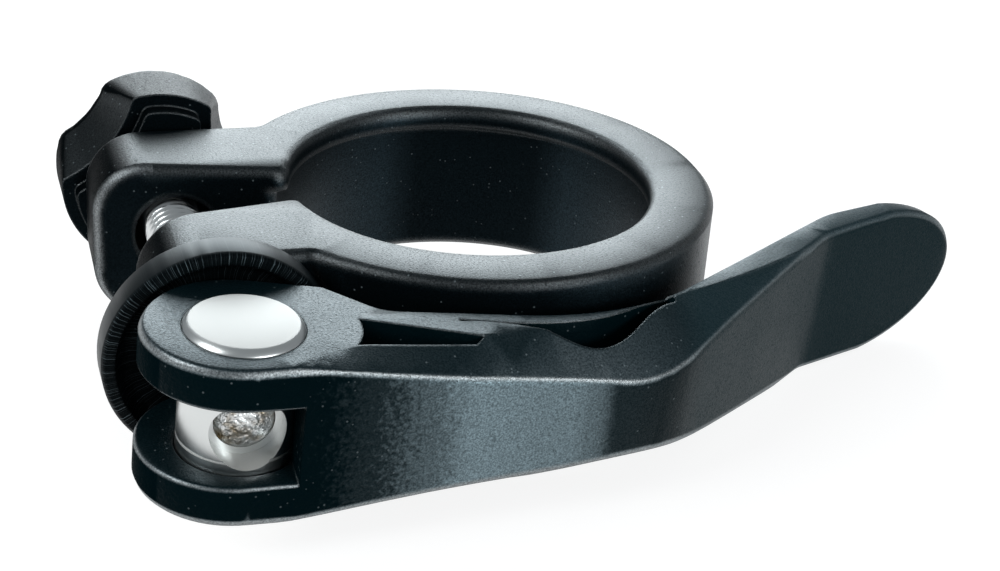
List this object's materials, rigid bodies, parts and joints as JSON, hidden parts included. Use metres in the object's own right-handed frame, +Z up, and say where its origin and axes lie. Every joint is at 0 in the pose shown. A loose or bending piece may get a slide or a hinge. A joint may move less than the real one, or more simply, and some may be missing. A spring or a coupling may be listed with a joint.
{
  "type": "quick-release seatpost clamp",
  "caption": "Split collar that clamps a bicycle seat tube by a cam lever, a cross rod and a lobed thumb nut.",
  "frame": {"origin": "on the bore's axis at the collar's mid height", "axes": "+Z up along the bore towards the lip, -X towards the ears, the rod along Y with the lever on the -Y side"},
  "size_m": [0.0773, 0.0508, 0.019],
  "materials": {
    "black_coated_aluminium": "black satin coat on sand-blasted aluminium",
    "black_coated_lever": "black satin coat, slightly orange-peeled on the arm's outer face",
    "black_washer": "black, turned",
    "black_nut": "black satin coat",
    "satin_steel": "satin turned steel",
    "zinc_plated_steel": "bright zinc plate"
  },
  "bodies": {
    "collar": {"collar_band": "black_coated_aluminium"},
    "skewer": {"skewer_rod": "zinc_plated_steel", "pivot_pin": "satin_steel"},
    "cam_lever": {"lever": "black_coated_lever"},
    "washer": {"cam_washer": "black_washer"},
    "nut": {"adjusting_nut": "black_nut"}
  },
  "joints": [
    {"name": "skewer_swivel", "type": "hinge", "parent": "collar", "child": "skewer", "pos_m": [-0.02351, -0.00003, 0.00079], "axis": [-0.0314, 0.9989, 0.0349], "continuous": true},
    {"name": "lever_swing", "type": "hinge", "parent": "skewer", "child": "cam_lever", "pos_m": [-0.02281, -0.0225, 0], "axis": [-0.0517, 0.0332, -0.9981], "range_deg": [0, 165]},
    {"name": "washer_spin", "type": "hinge", "parent": "skewer", "child": "washer", "pos_m": [-0.02308, -0.01401, 0.0003], "axis": [-0.0314, 0.9989, 0.0349], "continuous": true},
    {"name": "nut_spin", "type": "hinge", "parent": "skewer", "child": "nut", "pos_m": [-0.02405, 0.01696, 0.00138], "axis": [-0.0314, 0.9989, 0.0349], "continuous": true}
  ]
}
